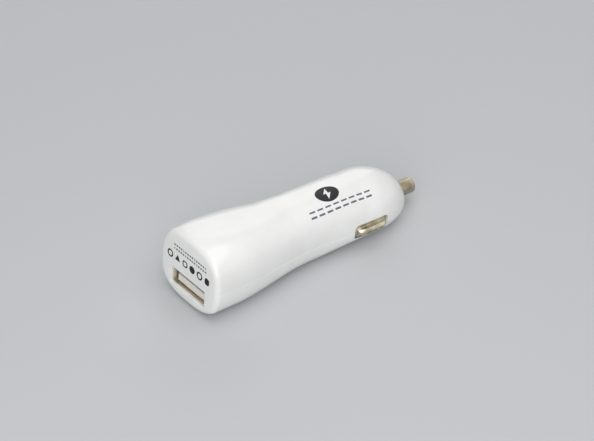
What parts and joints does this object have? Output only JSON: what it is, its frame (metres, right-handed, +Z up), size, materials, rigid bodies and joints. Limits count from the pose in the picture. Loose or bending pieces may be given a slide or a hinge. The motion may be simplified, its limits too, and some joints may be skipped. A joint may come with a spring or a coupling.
{
  "type": "car usb charger plug",
  "caption": "White car charger plug with a square-ended head that holds a USB port, a slim waist and a plug barrel with sprung side contacts and a sprung centre pin.",
  "frame": {"origin": "centre of the bounding box in plan, at the lowest point of the underside, lying as in the picture", "axes": "+X from the USB face along the plug to the free end of the centre pin, +Y across to the left side contact, +Z up"},
  "size_m": [0.0728, 0.0224, 0.0196],
  "materials": {
    "white_plastic": "gloss",
    "tongue_plastic": "satin",
    "nickel_plate": "satin",
    "contact_metal": "polished",
    "pin_metal": "satin",
    "spring_steel": "satin",
    "spring_bronze": "satin",
    "gold_plate": "polished",
    "board_laminate": "satin",
    "chip_black": "matte",
    "ferrite": "matte",
    "copper_wire": "gloss",
    "capacitor_can": "satin",
    "ceramic_tan": "matte"
  },
  "bodies": {
    "housing": {"upper_shell": "white_plastic", "lower_shell": "white_plastic", "usb_shell": "nickel_plate", "usb_tongue": "tongue_plastic", "usb_contact_1": "gold_plate", "usb_contact_2": "gold_plate", "usb_contact_3": "gold_plate", "usb_contact_4": "gold_plate", "circuit_board": "board_laminate", "converter_chip": "chip_black", "inductor_core": "ferrite", "inductor_winding": "copper_wire", "input_capacitor": "capacitor_can", "output_capacitor": "capacitor_can", "rectifier_diode": "chip_black", "resistor_1": "chip_black", "resistor_2": "chip_black", "ceramic_capacitor": "ceramic_tan", "pin_spring": "spring_steel", "pin_terminal": "spring_steel", "contact_leaf_left": "spring_bronze", "contact_leaf_right": "spring_bronze"},
    "center_pin": {"center_pin": "pin_metal"},
    "left_contact": {"side_contact_left": "contact_metal"},
    "right_contact": {"side_contact_right": "contact_metal"}
  },
  "joints": [
    {"name": "center_pin_slide", "type": "slide", "parent": "housing", "child": "center_pin", "axis": [-1, 0, 0], "range_m": [0, 0.0035], "stiffness_N_per_m": 200, "springref_m": -0.01, "deforming": ["pin_spring"]},
    {"name": "left_contact_press", "type": "slide", "parent": "housing", "child": "left_contact", "axis": [0, -1, 0], "range_m": [0, 0.0012], "stiffness_N_per_m": 800, "springref_m": -0.0015, "deforming": ["contact_leaf_left"]},
    {"name": "right_contact_press", "type": "slide", "parent": "housing", "child": "right_contact", "axis": [0, 1, 0], "range_m": [0, 0.0012], "stiffness_N_per_m": 800, "springref_m": -0.0015, "deforming": ["contact_leaf_right"]}
  ]
}
